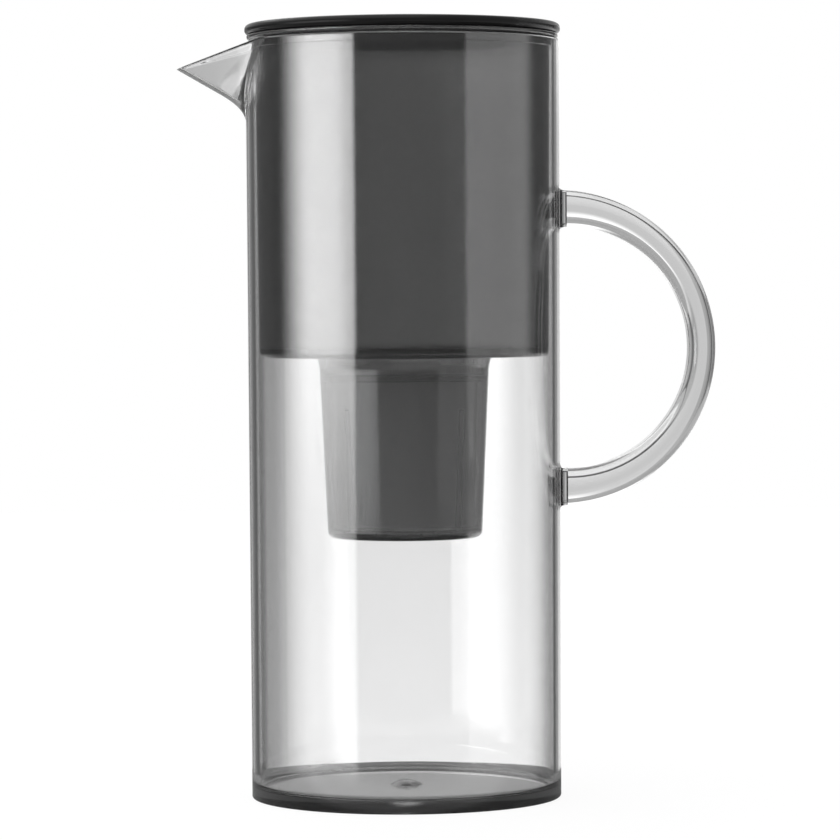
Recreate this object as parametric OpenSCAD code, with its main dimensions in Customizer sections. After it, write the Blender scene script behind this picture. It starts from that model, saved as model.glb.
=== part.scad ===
// Water filter pitcher: a clear jug with a spout and a loop handle, a hopper that hangs in its rim,
// a cup under the hopper for a drop-in filter cartridge, and a flat lid.
// The origin is the centre of the underside, +Z is up, the handle points to +X and the spout to -X.

/* [Jug] */
// Height of the rim above the table
jug_height = 275.5; // [240:0.5:310]
// Outside diameter at the base
base_diameter = 112.9; // [104:0.1:122]
// Amount by which the outside is wider at the rim than at the base
rim_flare = 1.2; // [0:0.1:3]
// Thickness of the jug's wall
jug_wall = 2.6; // [2:0.1:3.6]
// Thickness of the jug's floor
floor_thickness = 4.3; // [3.4:0.1:7]
// Radius of the fillet between floor and wall, inside
floor_fillet = 2.2; // [0.5:0.1:8]
// Radius of the outside edge of the base
base_edge_radius = 0.8; // [0.5:0.1:3]
// Width of the bevel on the inner edge of the rim
rim_bevel = 0.5; // [0.2:0.1:0.8]
// Diameter of the dished gate mark under the floor
gate_dish_diameter = 9.6; // [6.5:0.1:20]
// Depth of the gate mark
gate_dish_depth = 1.7; // [0.6:0.1:2.4]
// Diameter of the gate stub in the dish
gate_stub_diameter = 4.4; // [2:0.1:6]
// Depth at which the gate stub ends inside the dish
gate_stub_recess = 0.4; // [0.1:0.1:0.5]
// Diameter of the round pip on the floor inside, opposite the gate
gate_pip_diameter = 11.8; // [6:0.1:16]
// Height of the pip
gate_pip_height = 2; // [0.5:0.1:3]

/* [Spout] */
// Reach of the spout's tip beyond the rim
spout_reach = 25.4; // [18:0.1:34]
// Drop of the spout's tip below the rim
spout_drop = 9.9; // [5:0.1:14]
// Distance inside the outside of the rim at which the spout's lip starts to slope down
lip_inset = 6; // [3:0.1:8]
// Slope of the spout's keel above the horizontal
keel_slope = 30; // [24:0.5:38]
// Half of the angle between the spout's two sides
spout_half_angle = 47; // [42:0.5:47]
// Radius of the rounded keel, outside
keel_radius = 3.5; // [2.6:0.1:6]
// Radius of the fillet between keel and jug
keel_fillet = 14; // [6:0.5:18]
// Thickness of the spout's wall
spout_wall = 2.2; // [1.6:0.1:2.4]

/* [Handle] */
// Height of the middle of the handle above the table
handle_height = 163.5; // [145:0.5:185]
// Overall height of the handle
handle_span = 114.2; // [100:0.2:130]
// Reach of the handle beyond the jug's wall
handle_reach = 56.2; // [48:0.2:62]
// Thickness of the handle at its roots
root_thickness = 13.3; // [11.5:0.1:17]
// Thickness of the handle at its middle
grip_thickness = 9.5; // [9.2:0.1:13]
// Width of the handle, seen from its outer side
handle_width = 18; // [12:0.1:26]
// Radius of the handle's long edges
handle_edge_radius = 1; // [0.6:0.1:3]
// Height of the two bosses that the handle is glued to, above the wall
boss_height = 2.4; // [1.6:0.1:5]
// Shoulder around the spigot at each end of the handle
spigot_shoulder = 2.4; // [1.5:0.1:3.5]
// Radius of the spigots' long edges
spigot_edge_radius = 1.4; // [0.6:0.1:2]
// Length of the spigots
spigot_length = 1.8; // [1:0.1:2.2]

/* [Hopper] */
// Depth from the jug's rim to the hopper's floor
hopper_depth = 111.8; // [85:0.2:130]
// Thickness of the hopper's wall
hopper_wall = 2.2; // [1.6:0.1:3]
// Thickness of the hopper's floor
hopper_floor = 3.2; // [2.8:0.1:5]
// Gap between hopper and jug at the top, for pouring
pour_gap_top = 0.9; // [0.6:0.1:3]
// Gap between hopper and jug at the bottom, for pouring
pour_gap_bottom = 1.4; // [0.8:0.1:5]
// Radius of the hopper's lower edge
hopper_edge_radius = 1.8; // [0.6:0.1:2.6]
// Height of the hopper's rim flange
flange_height = 2.1; // [1.8:0.1:5]
// Distance that the flange stands in from the jug's outside
flange_inset = 0.4; // [0:0.1:1.2]
// Radius of the flange's lower edge
flange_edge_radius = 1.4; // [0.4:0.1:1.6]
// Height of the collar that locates the hopper in the rim
collar_height = 2.9; // [2:0.1:8]

/* [Filter cup] */
// Depth from the hopper's floor to the underside of the cup
cup_depth = 69; // [52:0.5:90]
// Outside diameter of the cup's neck
cup_neck_diameter = 63.7; // [54:0.1:74]
// Outside diameter of the cup's foot
cup_foot_diameter = 56.2; // [48:0.1:62]
// Thickness of the cup's wall
cup_wall = 1.8; // [1.4:0.1:2.6]
// Thickness of the cup's floor
cup_floor = 3; // [2:0.1:5]
// Radius of the cup's lower edge
cup_edge_radius = 2.8; // [0.8:0.1:3]
// Width of the flange that carries the cup in the hopper's floor
cup_flange_width = 3.2; // [2:0.1:5]
// Thickness of that flange
cup_flange_thickness = 1.6; // [1:0.1:1.8]
// Amount by which the neck flares out toward the hopper's floor
neck_flare = 1; // [0.4:0.1:1.6]
// Height of the flare under the hopper's floor
neck_flare_height = 4; // [2:0.1:5]
// Depth of the cartridge's seat below the hopper's floor
seat_depth = 9.9; // [8.5:0.1:16]
// Width of the seat
seat_width = 1.7; // [1.4:0.1:2.4]
// Thickness of the seat
seat_thickness = 1.8; // [1.2:0.1:3]
// Number of ribs inside the cup
rib_count = 4; // [3:1:8]
// Width of a rib
rib_width = 2; // [1.2:0.1:3]
// Height of a rib above the cup's wall
rib_height = 0.9; // [0.5:0.1:1.2]
// Distance from the seat down to the top of the ribs
rib_start = 12; // [6:0.5:24]
// Number of outlet holes in the cup's floor
outlet_count = 6; // [3:1:10]
// Diameter of an outlet hole
outlet_diameter = 5; // [3:0.1:7]
// Radius of the circle that the outlet holes lie on
outlet_circle = 13; // [11:0.5:17]

/* [Lid] */
// Thickness of the lid
lid_thickness = 3.8; // [3:0.1:7]
// Distance that the lid reaches past the jug's outside
lid_overhang = 0.35; // [0:0.05:2]
// Radius of the lid's upper and lower edge
lid_edge_radius = 1.9; // [0.4:0.1:2]
// Depth of the plug under the lid
plug_depth = 3; // [2.8:0.1:6]
// Width of the plug's ring
plug_width = 4; // [3:0.1:8]
// Thickness of the seal ring's section
seal_section = 1.8; // [1.2:0.1:2]

/* [Cartridge] */
// Thickness of the cartridge's wall
cartridge_wall = 1.3; // [1:0.1:2]
// Thickness of the cartridge's floor
cartridge_floor = 1.6; // [1:0.1:3]
// Gap between the cartridge's floor and the cup's floor
drain_gap = 1.6; // [1:0.1:5]
// Thickness of the cartridge's flange
cartridge_flange = 2; // [1.2:0.1:2.6]
// Thickness of the flat seal under that flange
cartridge_seal_thickness = 0.8; // [0.6:0.1:1.4]
// Thickness of the two screens
screen_thickness = 1.2; // [0.8:0.1:2]
// Depth of the carbon bed
carbon_depth = 16; // [8:0.5:20]
// Thickness of the cap
cap_thickness = 1.6; // [1.2:0.1:2]
// Depth of the cap's skirt inside the shell
cap_skirt_depth = 2.4; // [1.5:0.1:6]
// Length of the grip on the cap
grip_length = 26; // [18:0.5:32]
// Width of the grip on the cap
grip_width = 3; // [2:0.1:5]
// Distance of the top of the grip below the hopper's floor
grip_recess = 0.6; // [0.3:0.1:1]
// Number of slots in the cap and in the cartridge's floor
slot_count = 12; // [8:1:16]
// Width of a slot
slot_width = 1.2; // [0.8:0.1:1.6]
// Length of a slot
slot_length = 6; // [4:0.1:7]

/* [Fits] */
// Clearance between the hopper's collar and the jug
collar_clearance = 0.3; // [0.2:0.05:0.5]
// Clearance between the lid's seal and the hopper's mouth
lid_clearance = 0.3; // [0.2:0.05:0.6]
// Clearance of the cup in the hopper's floor
cup_clearance = 0.1; // [0.05:0.05:0.2]
// Clearance around the cartridge
cartridge_clearance = 0.4; // [0.3:0.05:0.7]
// Clearance of the screens and beds inside the cartridge
bed_clearance = 0.15; // [0.1:0.05:0.4]
// Clearance of the handle's spigots in their sockets
glue_clearance = 0.1; // [0.05:0.05:0.2]

/* [Hidden] */
$fn = 128;
// A small overlap that lets a cut run past the face it cuts
over = 1;
// Largest share of a wall's thickness that the radius on one of its edges takes
edge_share = 0.46;

// Jug: the wall has a slight draft between the rounded base and the rim
base_r = base_diameter / 2;
rim_r = base_r + rim_flare / 2;
function jug_outer_r(z) =
    base_r + (rim_r - base_r) * (z - base_edge_radius) / (jug_height - base_edge_radius);
function jug_inner_r(z) = jug_outer_r(z) - jug_wall;
inner_start = floor_thickness + floor_fillet;

// Spout: tip, lip and the straight keel down to the wall
tip_x = -(rim_r + spout_reach);
tip_z = jug_height - spout_drop;
lip_slope = atan(spout_drop / (spout_reach + lip_inset));
keel_foot_z = tip_z - spout_reach * tan(keel_slope);
keel_length = (spout_reach + rim_r - jug_outer_r(keel_foot_z)) / cos(keel_slope);
keel_turn = 90 - keel_slope;
keel_straight = keel_length - keel_fillet * tan(keel_turn / 2);
fillet_x = tip_x + keel_straight * cos(keel_slope) - keel_fillet * sin(keel_slope);
fillet_z = tip_z - keel_straight * sin(keel_slope) - keel_fillet * cos(keel_slope);
// The fillet's faces lie this far inside the faces that they run into, so that they cross cleanly
fillet_setback = 0.15;
fillet_run_in = 6;
// The spout's sides are drawn longer than the spout, and are cut at the rim and inside the jug
side_length = 2 * (spout_reach + rim_r);
spout_root_x = -rim_r / 2;

// Handle: two arcs through the joint face and the outermost points
joint_x = jug_outer_r(handle_height) + boss_height;
handle_outer_x = jug_outer_r(handle_height) + handle_reach;
outer_half_span = handle_span / 2;
outer_rise = handle_outer_x - joint_x;
outer_arc_r = (pow(outer_half_span, 2) + pow(outer_rise, 2)) / (2 * outer_rise);
inner_half_span = outer_half_span - root_thickness;
inner_rise = outer_rise - grip_thickness;
inner_arc_r = (pow(inner_half_span, 2) + pow(inner_rise, 2)) / (2 * inner_rise);
root_offset = outer_half_span - root_thickness / 2;
socket_floor_x = joint_x - spigot_length - glue_clearance;

// Hopper: hangs by its flange on the rim
flange_top_z = jug_height + flange_height;
flange_r = rim_r - flange_inset;
collar_bottom_z = jug_height - collar_height;
collar_r = jug_inner_r(jug_height) - collar_clearance;
hopper_floor_z = jug_height - hopper_depth;
hopper_bottom_z = hopper_floor_z - hopper_floor;
hopper_top_r = jug_inner_r(jug_height) - pour_gap_top;
hopper_bottom_r = jug_inner_r(hopper_bottom_z) - pour_gap_bottom;
hopper_inner_fillet = hopper_edge_radius / 2;
function hopper_r(z) = hopper_bottom_r
    + (hopper_top_r - hopper_bottom_r) * (z - hopper_bottom_z) / (jug_height - hopper_bottom_z);
mouth_r = hopper_r(jug_height) - hopper_wall;

// Filter cup: a straight neck through the hopper's floor, a short flare, then a taper down to the foot
cup_neck_r = cup_neck_diameter / 2;
cup_foot_r = cup_foot_diameter / 2;
cup_bottom_z = hopper_floor_z - cup_depth;
cup_floor_z = cup_bottom_z + cup_floor;
cup_taper_top_z = hopper_bottom_z - neck_flare_height;
cup_taper_top_r = cup_neck_r - neck_flare;
cup_taper_foot_z = cup_bottom_z + cup_edge_radius;
function cup_outer_r(z) =
    cup_foot_r
    + (cup_taper_top_r - cup_foot_r) * (z - cup_taper_foot_z) / (cup_taper_top_z - cup_taper_foot_z);
function cup_inner_r(z) = cup_outer_r(z) - cup_wall;
cup_hole_r = cup_neck_r + cup_clearance;
cup_flange_r = cup_neck_r + cup_flange_width;
neck_bore_r = cup_taper_top_r - cup_wall;
seat_z = hopper_floor_z - seat_depth;
seat_r = cup_inner_r(seat_z) - seat_width;
rib_top_z = seat_z - rib_start;

// Cartridge: stands on its seal on the seat
cartridge_flange_z = seat_z + cartridge_seal_thickness;
cartridge_top_z = cartridge_flange_z + cartridge_flange;
cartridge_bottom_z = cup_floor_z + drain_gap;
cartridge_flange_r = neck_bore_r - cartridge_clearance;
cartridge_top_r = seat_r - cartridge_clearance;
cartridge_foot_r = cup_inner_r(cartridge_bottom_z) - rib_height - cartridge_clearance;
function cartridge_outer_r(z) = cartridge_foot_r + (cartridge_top_r - cartridge_foot_r)
    * (z - cartridge_bottom_z) / (cartridge_flange_z - cartridge_bottom_z);
function cartridge_inner_r(z) = cartridge_outer_r(z) - cartridge_wall;
function bed_r(z) = cartridge_inner_r(z) - bed_clearance;
cartridge_floor_z = cartridge_bottom_z + cartridge_floor;
outlet_screen_top_z = cartridge_floor_z + screen_thickness;
cap_skirt_z = cartridge_top_z - cap_skirt_depth;
inlet_screen_z = cap_skirt_z - screen_thickness;
carbon_z = inlet_screen_z - carbon_depth;
cap_top_z = cartridge_top_z + cap_thickness;
grip_top_z = hopper_floor_z - grip_recess;
cap_skirt_r = cartridge_inner_r(cap_skirt_z) - bed_clearance;

// Lid: rests on the flange, with its plug and seal in the hopper's mouth
lid_r = rim_r + lid_overhang;
lid_edge_r = min(lid_edge_radius, edge_share * lid_thickness);
plug_r = mouth_r - 2 * lid_clearance;
plug_bottom_z = flange_top_z - plug_depth;
seal_z = plug_bottom_z + plug_depth / 2;
seal_center_r = mouth_r - lid_clearance - seal_section / 2;
groove_clearance = lid_clearance / 2;

// The space between a round of the given radius and the square corner at [x, y] that it is drawn in,
// with dx and dy toward the round: it is cut from an outer corner, and added to an inner one.
module corner(x, y, radius, dx, dy) {
    back_x = x - dx * over / 2;
    back_y = y - dy * over / 2;
    round_x = x + dx * radius;
    round_y = y + dy * radius;
    difference() {
        polygon([[back_x, back_y], [round_x, back_y], [round_x, round_y], [back_x, round_y]]);
        translate([round_x, round_y]) circle(radius);
    }
}

// A ring of rectangular section
module ring(inner_r, outer_r, bottom_z, top_z) {
    rotate_extrude() translate([inner_r, bottom_z]) square([outer_r - inner_r, top_z - bottom_z]);
}

// A tapered disc that follows the cartridge's bore
module cartridge_layer(bottom_z, top_z) {
    translate([0, 0, bottom_z]) cylinder(h = top_z - bottom_z, r1 = bed_r(bottom_z), r2 = bed_r(top_z));
}

// A ring of slots that point to the axis, as a cutter from bottom_z to top_z
module slot_cutter(middle_r, bottom_z, top_z) {
    for (i = [0 : slot_count - 1])
        rotate(i * 360 / slot_count)
            translate([middle_r - slot_length / 2, -slot_width / 2, bottom_z])
                cube([slot_length, slot_width, top_z - bottom_z]);
}

// A rectangle with rounded corners, centred on the origin
module rounded_rectangle(width, height, radius) {
    square([width - 2 * radius, height], center = true);
    square([width, height - 2 * radius], center = true);
    for (x = [-1, 1], y = [-1, 1])
        translate([x * (width / 2 - radius), y * (height / 2 - radius)]) circle(radius);
}

// Outside of the jug as a full solid, past the rim by the given height
module jug_outside(past_rim) {
    top_z = jug_height + past_rim;
    rotate_extrude()
        difference() {
            polygon([[0, 0], [base_r, 0], [base_r, base_edge_radius], [jug_outer_r(top_z), top_z],
                [0, top_z]]);
            corner(base_r, 0, base_edge_radius, -1, 1);
        }
}

// Inside of the jug as a full solid that widens at the rim's bevel and runs past the rim
module jug_inside() {
    start_r = jug_inner_r(inner_start);
    bevel_z = jug_height - rim_bevel;
    bevel_r = jug_inner_r(bevel_z);
    rotate_extrude()
        difference() {
            polygon([[0, floor_thickness], [start_r, floor_thickness], [start_r, inner_start],
                [bevel_r, bevel_z], [bevel_r + rim_bevel + over, jug_height + over], [0, jug_height + over]]);
            corner(start_r, floor_thickness, floor_fillet, -1, 1);
        }
}

// Section across the spout: a V with a rounded keel that touches the origin and opens to +X
module spout_section(nose_r) {
    side = spout_half_angle;
    touch_x = keel_radius - nose_r * sin(side);
    touch_y = nose_r * cos(side);
    far_x = touch_x + side_length * cos(side);
    far_y = touch_y + side_length * sin(side);
    polygon([[touch_x, touch_y], [far_x, far_y], [far_x, -far_y], [touch_x, -touch_y]]);
    translate([keel_radius, 0]) circle(nose_r);
}

// The spout's section drawn along the keel from start to end, measured from the tip
module spout_prism(nose_r, start, end) {
    intersection() {
        translate([tip_x, 0, tip_z])
            rotate([0, 90 + keel_slope, 0])
                rotate([0, 0, 180])
                    translate([0, 0, start]) linear_extrude(end - start) spout_section(nose_r);
        translate([2 * tip_x, -rim_r, 0]) cube([spout_root_x - 2 * tip_x, 2 * rim_r, jug_height + over]);
    }
}

// The spout's section turned down around the fillet until it runs along the wall
module spout_fillet() {
    intersection() {
        translate([fillet_x, 0, fillet_z])
            rotate([0, -keel_turn, 0])
                rotate([-90, 0, 0])
                    rotate([0, 0, -fillet_run_in])
                        rotate_extrude(angle = keel_turn + 2 * fillet_run_in)
                            translate([keel_fillet + fillet_setback, 0]) spout_section(keel_radius);
        translate([2 * tip_x, -rim_r, 0]) cube([spout_root_x - 2 * tip_x, 2 * rim_r, jug_height + over]);
    }
}

// Block above the lip of the spout, which slopes down from inside the rim
module lip_cutter() {
    translate([lip_inset - rim_r, 0, jug_height])
        rotate([0, -lip_slope, 0])
            translate([-side_length, -rim_r, 0]) cube([side_length, 2 * rim_r, side_length]);
}

// Section of the handle at its joint faces, drawn along X, smaller by the given inset
module handle_root(from_x, to_x, inset) {
    radius = inset == 0 ? handle_edge_radius : spigot_edge_radius;
    translate([from_x, 0, 0])
        rotate([90, 0, 90])
            linear_extrude(to_x - from_x)
                rounded_rectangle(handle_width - 2 * inset, root_thickness - 2 * inset, radius);
}

// Both roots of the handle
module handle_roots(from_x, to_x, inset) {
    for (side = [-1, 1])
        translate([0, 0, handle_height + side * root_offset]) handle_root(from_x, to_x, inset);
}

// Dished mark under the floor with the stub of the gate in it
module gate_mark() {
    dish_r = (pow(gate_dish_diameter / 2, 2) + pow(gate_dish_depth, 2)) / (2 * gate_dish_depth);
    difference() {
        translate([0, 0, gate_dish_depth - dish_r]) sphere(dish_r);
        translate([0, 0, gate_stub_recess]) cylinder(h = gate_dish_depth, d = gate_stub_diameter);
    }
}

// Sphere whose top is the pip on the floor
module gate_pip() {
    pip_r = (pow(gate_pip_diameter / 2, 2) + pow(gate_pip_height, 2)) / (2 * gate_pip_height);
    translate([0, 0, floor_thickness + gate_pip_height - pip_r]) sphere(pip_r);
}

module jug_body() {
    color([0.62, 0.62, 0.63, 0.45])
        difference() {
            union() {
                jug_outside(over);
                spout_prism(keel_radius, 0, keel_length + jug_wall);
                spout_fillet();
                handle_roots(jug_inner_r(handle_height), joint_x, 0);
            }
            difference() {
                jug_inside();
                gate_pip();
            }
            spout_prism(keel_radius - spout_wall, -spout_reach, 2 * keel_length);
            handle_roots(socket_floor_x, joint_x + over, spigot_shoulder - glue_clearance);
            lip_cutter();
            translate([2 * tip_x, -side_length / 2, jug_height]) cube([-4 * tip_x, side_length, side_length]);
            gate_mark();
        }
}

// Disc with rounded edges, whose rim is the outer arc of the handle
module handle_disc() {
    half = handle_width / 2;
    rotate([90, 0, 0])
        rotate_extrude()
            difference() {
                translate([0, -half]) square([outer_arc_r, handle_width]);
                corner(outer_arc_r, half, handle_edge_radius, -1, -1);
                corner(outer_arc_r, -half, handle_edge_radius, -1, 1);
            }
}

// Round hole with flared edges, whose wall is the inner arc of the handle
module handle_hole() {
    half = handle_width / 2;
    rotate([90, 0, 0])
        rotate_extrude()
            union() {
                translate([0, -half - over]) square([inner_arc_r, handle_width + 2 * over]);
                corner(inner_arc_r, half, handle_edge_radius, 1, -1);
                corner(inner_arc_r, -half, handle_edge_radius, 1, 1);
            }
}

module handle() {
    color([0.72, 0.72, 0.73, 0.5]) {
        difference() {
            translate([handle_outer_x - outer_arc_r, 0, handle_height]) handle_disc();
            translate([handle_outer_x - grip_thickness - inner_arc_r, 0, handle_height]) handle_hole();
            translate([joint_x - side_length, -handle_width, 0])
                cube([side_length, 2 * handle_width, jug_height]);
        }
        handle_roots(joint_x - spigot_length, joint_x + over, spigot_shoulder);
    }
}

// Outside of the hopper as a full solid, with its flange and collar
module hopper_outside() {
    difference() {
        polygon([[0, hopper_bottom_z], [hopper_bottom_r, hopper_bottom_z],
            [hopper_bottom_r, hopper_bottom_z + hopper_edge_radius],
            [hopper_r(collar_bottom_z), collar_bottom_z], [collar_r, collar_bottom_z], [collar_r, jug_height],
            [flange_r, jug_height], [flange_r, flange_top_z], [0, flange_top_z]]);
        corner(hopper_bottom_r, hopper_bottom_z, hopper_edge_radius, -1, 1);
        corner(flange_r, jug_height, flange_edge_radius, -1, 1);
    }
}

// Inside of the hopper as a full solid, past its flange
module hopper_inside() {
    floor_r = hopper_r(hopper_floor_z) - hopper_wall;
    difference() {
        polygon([[0, hopper_floor_z], [floor_r, hopper_floor_z],
            [floor_r, hopper_floor_z + hopper_inner_fillet], [mouth_r, jug_height],
            [mouth_r, flange_top_z + over], [0, flange_top_z + over]]);
        corner(floor_r, hopper_floor_z, hopper_inner_fillet, -1, 1);
    }
}

module hopper() {
    rebate_r = cup_flange_r + cup_clearance;
    color([0.22, 0.22, 0.23, 0.8])
        rotate_extrude()
            difference() {
                hopper_outside();
                hopper_inside();
                translate([0, hopper_bottom_z - over]) square([cup_hole_r, hopper_depth]);
                translate([0, hopper_floor_z - cup_flange_thickness])
                    square([rebate_r, cup_flange_thickness + over]);
            }
}

// Wall, floor, flange and seat of the filter cup
module cup_shell() {
    foot_inner_r = cup_inner_r(cup_floor_z);
    rotate_extrude()
        difference() {
            polygon([[0, cup_bottom_z], [cup_foot_r, cup_bottom_z], [cup_foot_r, cup_taper_foot_z],
                [cup_taper_top_r, cup_taper_top_z], [cup_neck_r, hopper_bottom_z],
                [cup_neck_r, hopper_floor_z - cup_flange_thickness],
                [cup_flange_r, hopper_floor_z - cup_flange_thickness], [cup_flange_r, hopper_floor_z],
                [0, hopper_floor_z]]);
            polygon([[0, cup_floor_z], [foot_inner_r, cup_floor_z],
                [cup_inner_r(seat_z - seat_thickness), seat_z - seat_thickness],
                [seat_r, seat_z - seat_thickness], [seat_r, seat_z], [neck_bore_r, seat_z],
                [neck_bore_r, hopper_floor_z + over], [0, hopper_floor_z + over]]);
            corner(cup_foot_r, cup_bottom_z, cup_edge_radius, -1, 1);
        }
}

// Ribs along the cup's wall, cut to its taper
module cup_ribs() {
    intersection() {
        rotate_extrude()
            polygon([
                [cup_inner_r(cup_floor_z) - rib_height, cup_floor_z - over / 2],
                [cup_inner_r(cup_floor_z) + cup_wall / 2, cup_floor_z - over / 2],
                [cup_inner_r(rib_top_z) + cup_wall / 2, rib_top_z],
                [cup_inner_r(rib_top_z) - rib_height, rib_top_z]
            ]);
        for (i = [0 : rib_count - 1])
            rotate(45 + i * 360 / rib_count)
                translate([0, -rib_width / 2, 0]) cube([cup_neck_r, rib_width, jug_height]);
    }
}

module filter_cup() {
    color([0.3, 0.3, 0.31, 0.8])
        difference() {
            union() {
                cup_shell();
                cup_ribs();
            }
            for (i = [0 : outlet_count - 1])
                rotate(i * 360 / outlet_count)
                    translate([outlet_circle, 0, cup_bottom_z - over])
                        cylinder(h = cup_floor + 2 * over, d = outlet_diameter);
        }
}

module lid_cover() {
    color([0.09, 0.09, 0.1])
        rotate_extrude()
            difference() {
                union() {
                    translate([0, flange_top_z]) square([lid_r, lid_thickness]);
                    translate([plug_r - plug_width, plug_bottom_z])
                        square([plug_width, plug_depth + over]);
                }
                corner(lid_r, flange_top_z, lid_edge_r, -1, 1);
                corner(lid_r, flange_top_z + lid_thickness, lid_edge_r, -1, -1);
                translate([seal_center_r, seal_z]) circle(seal_section / 2 + groove_clearance);
            }
}

module lid_seal() {
    color([0.2, 0.2, 0.2])
        rotate_extrude() translate([seal_center_r, seal_z]) circle(seal_section / 2);
}

module cartridge_shell() {
    bore_top_z = cartridge_top_z + over;
    color([0.9, 0.91, 0.92])
        difference() {
            union() {
                translate([0, 0, cartridge_bottom_z])
                    cylinder(h = cartridge_flange_z - cartridge_bottom_z,
                        r1 = cartridge_foot_r, r2 = cartridge_top_r);
                translate([0, 0, cartridge_flange_z]) cylinder(h = cartridge_flange, r = cartridge_flange_r);
            }
            translate([0, 0, cartridge_floor_z])
                cylinder(h = bore_top_z - cartridge_floor_z,
                    r1 = cartridge_inner_r(cartridge_floor_z), r2 = cartridge_inner_r(bore_top_z));
            slot_cutter(outlet_circle, cartridge_bottom_z - over, cartridge_floor_z + over);
        }
}

module cartridge_cap() {
    color([0.85, 0.87, 0.9]) {
        difference() {
            union() {
                translate([0, 0, cartridge_top_z]) cylinder(h = cap_thickness, r = cartridge_flange_r);
                translate([0, 0, cap_skirt_z]) cylinder(h = cap_skirt_depth + over / 2, r = cap_skirt_r);
            }
            translate([0, 0, cap_skirt_z - over])
                cylinder(h = cap_skirt_depth + over, r = cap_skirt_r - cartridge_wall);
            slot_cutter(cap_skirt_r - cartridge_wall - slot_length, cap_skirt_z, cap_top_z + over);
        }
        translate([-grip_length / 2, -grip_width / 2, cap_top_z - cap_thickness / 2])
            cube([grip_length, grip_width, grip_top_z - cap_top_z + cap_thickness / 2]);
    }
}

module cartridge_seal() {
    color([0.35, 0.36, 0.38])
        ring(seat_r + cartridge_clearance / 2, cartridge_flange_r, seat_z, cartridge_flange_z);
}

module inlet_screen() {
    color([0.95, 0.95, 0.93]) cartridge_layer(inlet_screen_z, cap_skirt_z);
}

module outlet_screen() {
    color([0.95, 0.95, 0.93]) cartridge_layer(cartridge_floor_z, outlet_screen_top_z);
}

module carbon_bed() {
    color([0.1, 0.1, 0.1]) cartridge_layer(carbon_z, inlet_screen_z);
}

module resin_bed() {
    color([0.86, 0.72, 0.45]) cartridge_layer(outlet_screen_top_z, carbon_z);
}

jug_body();
handle();
hopper();
filter_cup();
lid_cover();
lid_seal();
cartridge_shell();
cartridge_cap();
cartridge_seal();
inlet_screen();
outlet_screen();
carbon_bed();
resin_bed();
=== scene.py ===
"""Water filter pitcher: clear smoke jug and handle, dark satin hopper and cup, black lid, cartridge."""

import math

import bmesh
import bpy
import numpy as np
from mathutils import Matrix, Vector


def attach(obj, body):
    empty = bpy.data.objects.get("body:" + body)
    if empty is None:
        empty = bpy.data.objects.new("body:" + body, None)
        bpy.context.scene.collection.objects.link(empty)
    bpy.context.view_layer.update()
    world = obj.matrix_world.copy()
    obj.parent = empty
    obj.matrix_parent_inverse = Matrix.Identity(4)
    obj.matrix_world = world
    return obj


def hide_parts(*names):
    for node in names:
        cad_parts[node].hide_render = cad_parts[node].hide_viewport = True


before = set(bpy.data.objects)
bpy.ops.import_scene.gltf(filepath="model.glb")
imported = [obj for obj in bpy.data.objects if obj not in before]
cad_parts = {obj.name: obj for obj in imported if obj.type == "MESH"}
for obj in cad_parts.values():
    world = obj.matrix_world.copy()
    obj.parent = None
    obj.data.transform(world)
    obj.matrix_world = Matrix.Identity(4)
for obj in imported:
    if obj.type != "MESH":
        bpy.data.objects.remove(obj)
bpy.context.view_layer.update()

MM = 0.001

# Jug, in millimetres. The axis stands on the origin, the spout points to -X and the handle to +X.
JUG_HEIGHT = 275.5
BASE_RADIUS = 56.45
RIM_RADIUS = 57.05
JUG_WALL = 2.6
JUG_FLOOR = 4.3
FLOOR_FILLET = 2.2
BASE_EDGE = 0.8
RIM_EDGE = 0.45
GATE_DISH_RADIUS = 4.8
GATE_DISH_DEPTH = 1.7
GATE_STUB_RADIUS = 2.2
GATE_STUB_RECESS = 0.4
GATE_PIP_RADIUS = 5.9
GATE_PIP_HEIGHT = 2.0
FLOOR_RINGS = (44, 34, 24, 14)

# Spout
SPOUT_TIP = 82.45
SPOUT_TIP_HEIGHT = 265.6
KEEL_SLOPE = math.radians(30)
SPOUT_HALF_ANGLE = math.radians(47)
KEEL_RADIUS = 3.5
SPOUT_WALL = 2.2
SPOUT_FOOT = 236.0
LIP_INSET = 6.0
KEEL_BLEND = 9.0
SIDE_BLEND = 1.2
INSIDE_BLEND = 1.4

# Handle and the two bosses that it is glued to
HANDLE_MIDDLE = 163.5
JOINT_FACE = 59.2
OUTER_ARC = 57.2
OUTER_ARC_CENTRE = 55.8
INNER_ARC = 43.8
INNER_ARC_CENTRE = 59.7
HANDLE_WIDTH = 18.0
HANDLE_EDGE = 1.0
HANDLE_OUTER_EDGE = 2.3
HANDLE_INNER_EDGE = 3.4
HANDLE_CROWN = 0.6
SPIGOT_EDGE = 1.4
ROOT_OFFSET = 50.45
ROOT_THICKNESS = 13.3
SPIGOT_SHOULDER = 2.6
BOSS_FILLET = 1.8
GLUE_LINE = 0.08

# Hopper: radii and heights of its wall, collar, flange and floor
HOPPER_FOOT_RADIUS = 52.8
HOPPER_TOP_RADIUS = 53.53
HOPPER_MOUTH_RADIUS = 51.35
HOPPER_INNER_FOOT_RADIUS = 50.62
HOPPER_UNDERSIDE = 160.5
HOPPER_FLOOR = 163.7
HOPPER_EDGE = 1.8
HOPPER_INNER_EDGE = 0.9
COLLAR_RADIUS = 54.15
COLLAR_FOOT = 272.6
FLANGE_RADIUS = 56.65
FLANGE_TOP = 277.6
FLANGE_LOWER_EDGE = 1.4
FLANGE_UPPER_EDGE = 0.4
REBATE_RADIUS = 35.15
REBATE_FLOOR = 162.1
NECK_HOLE_RADIUS = 31.95

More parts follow.
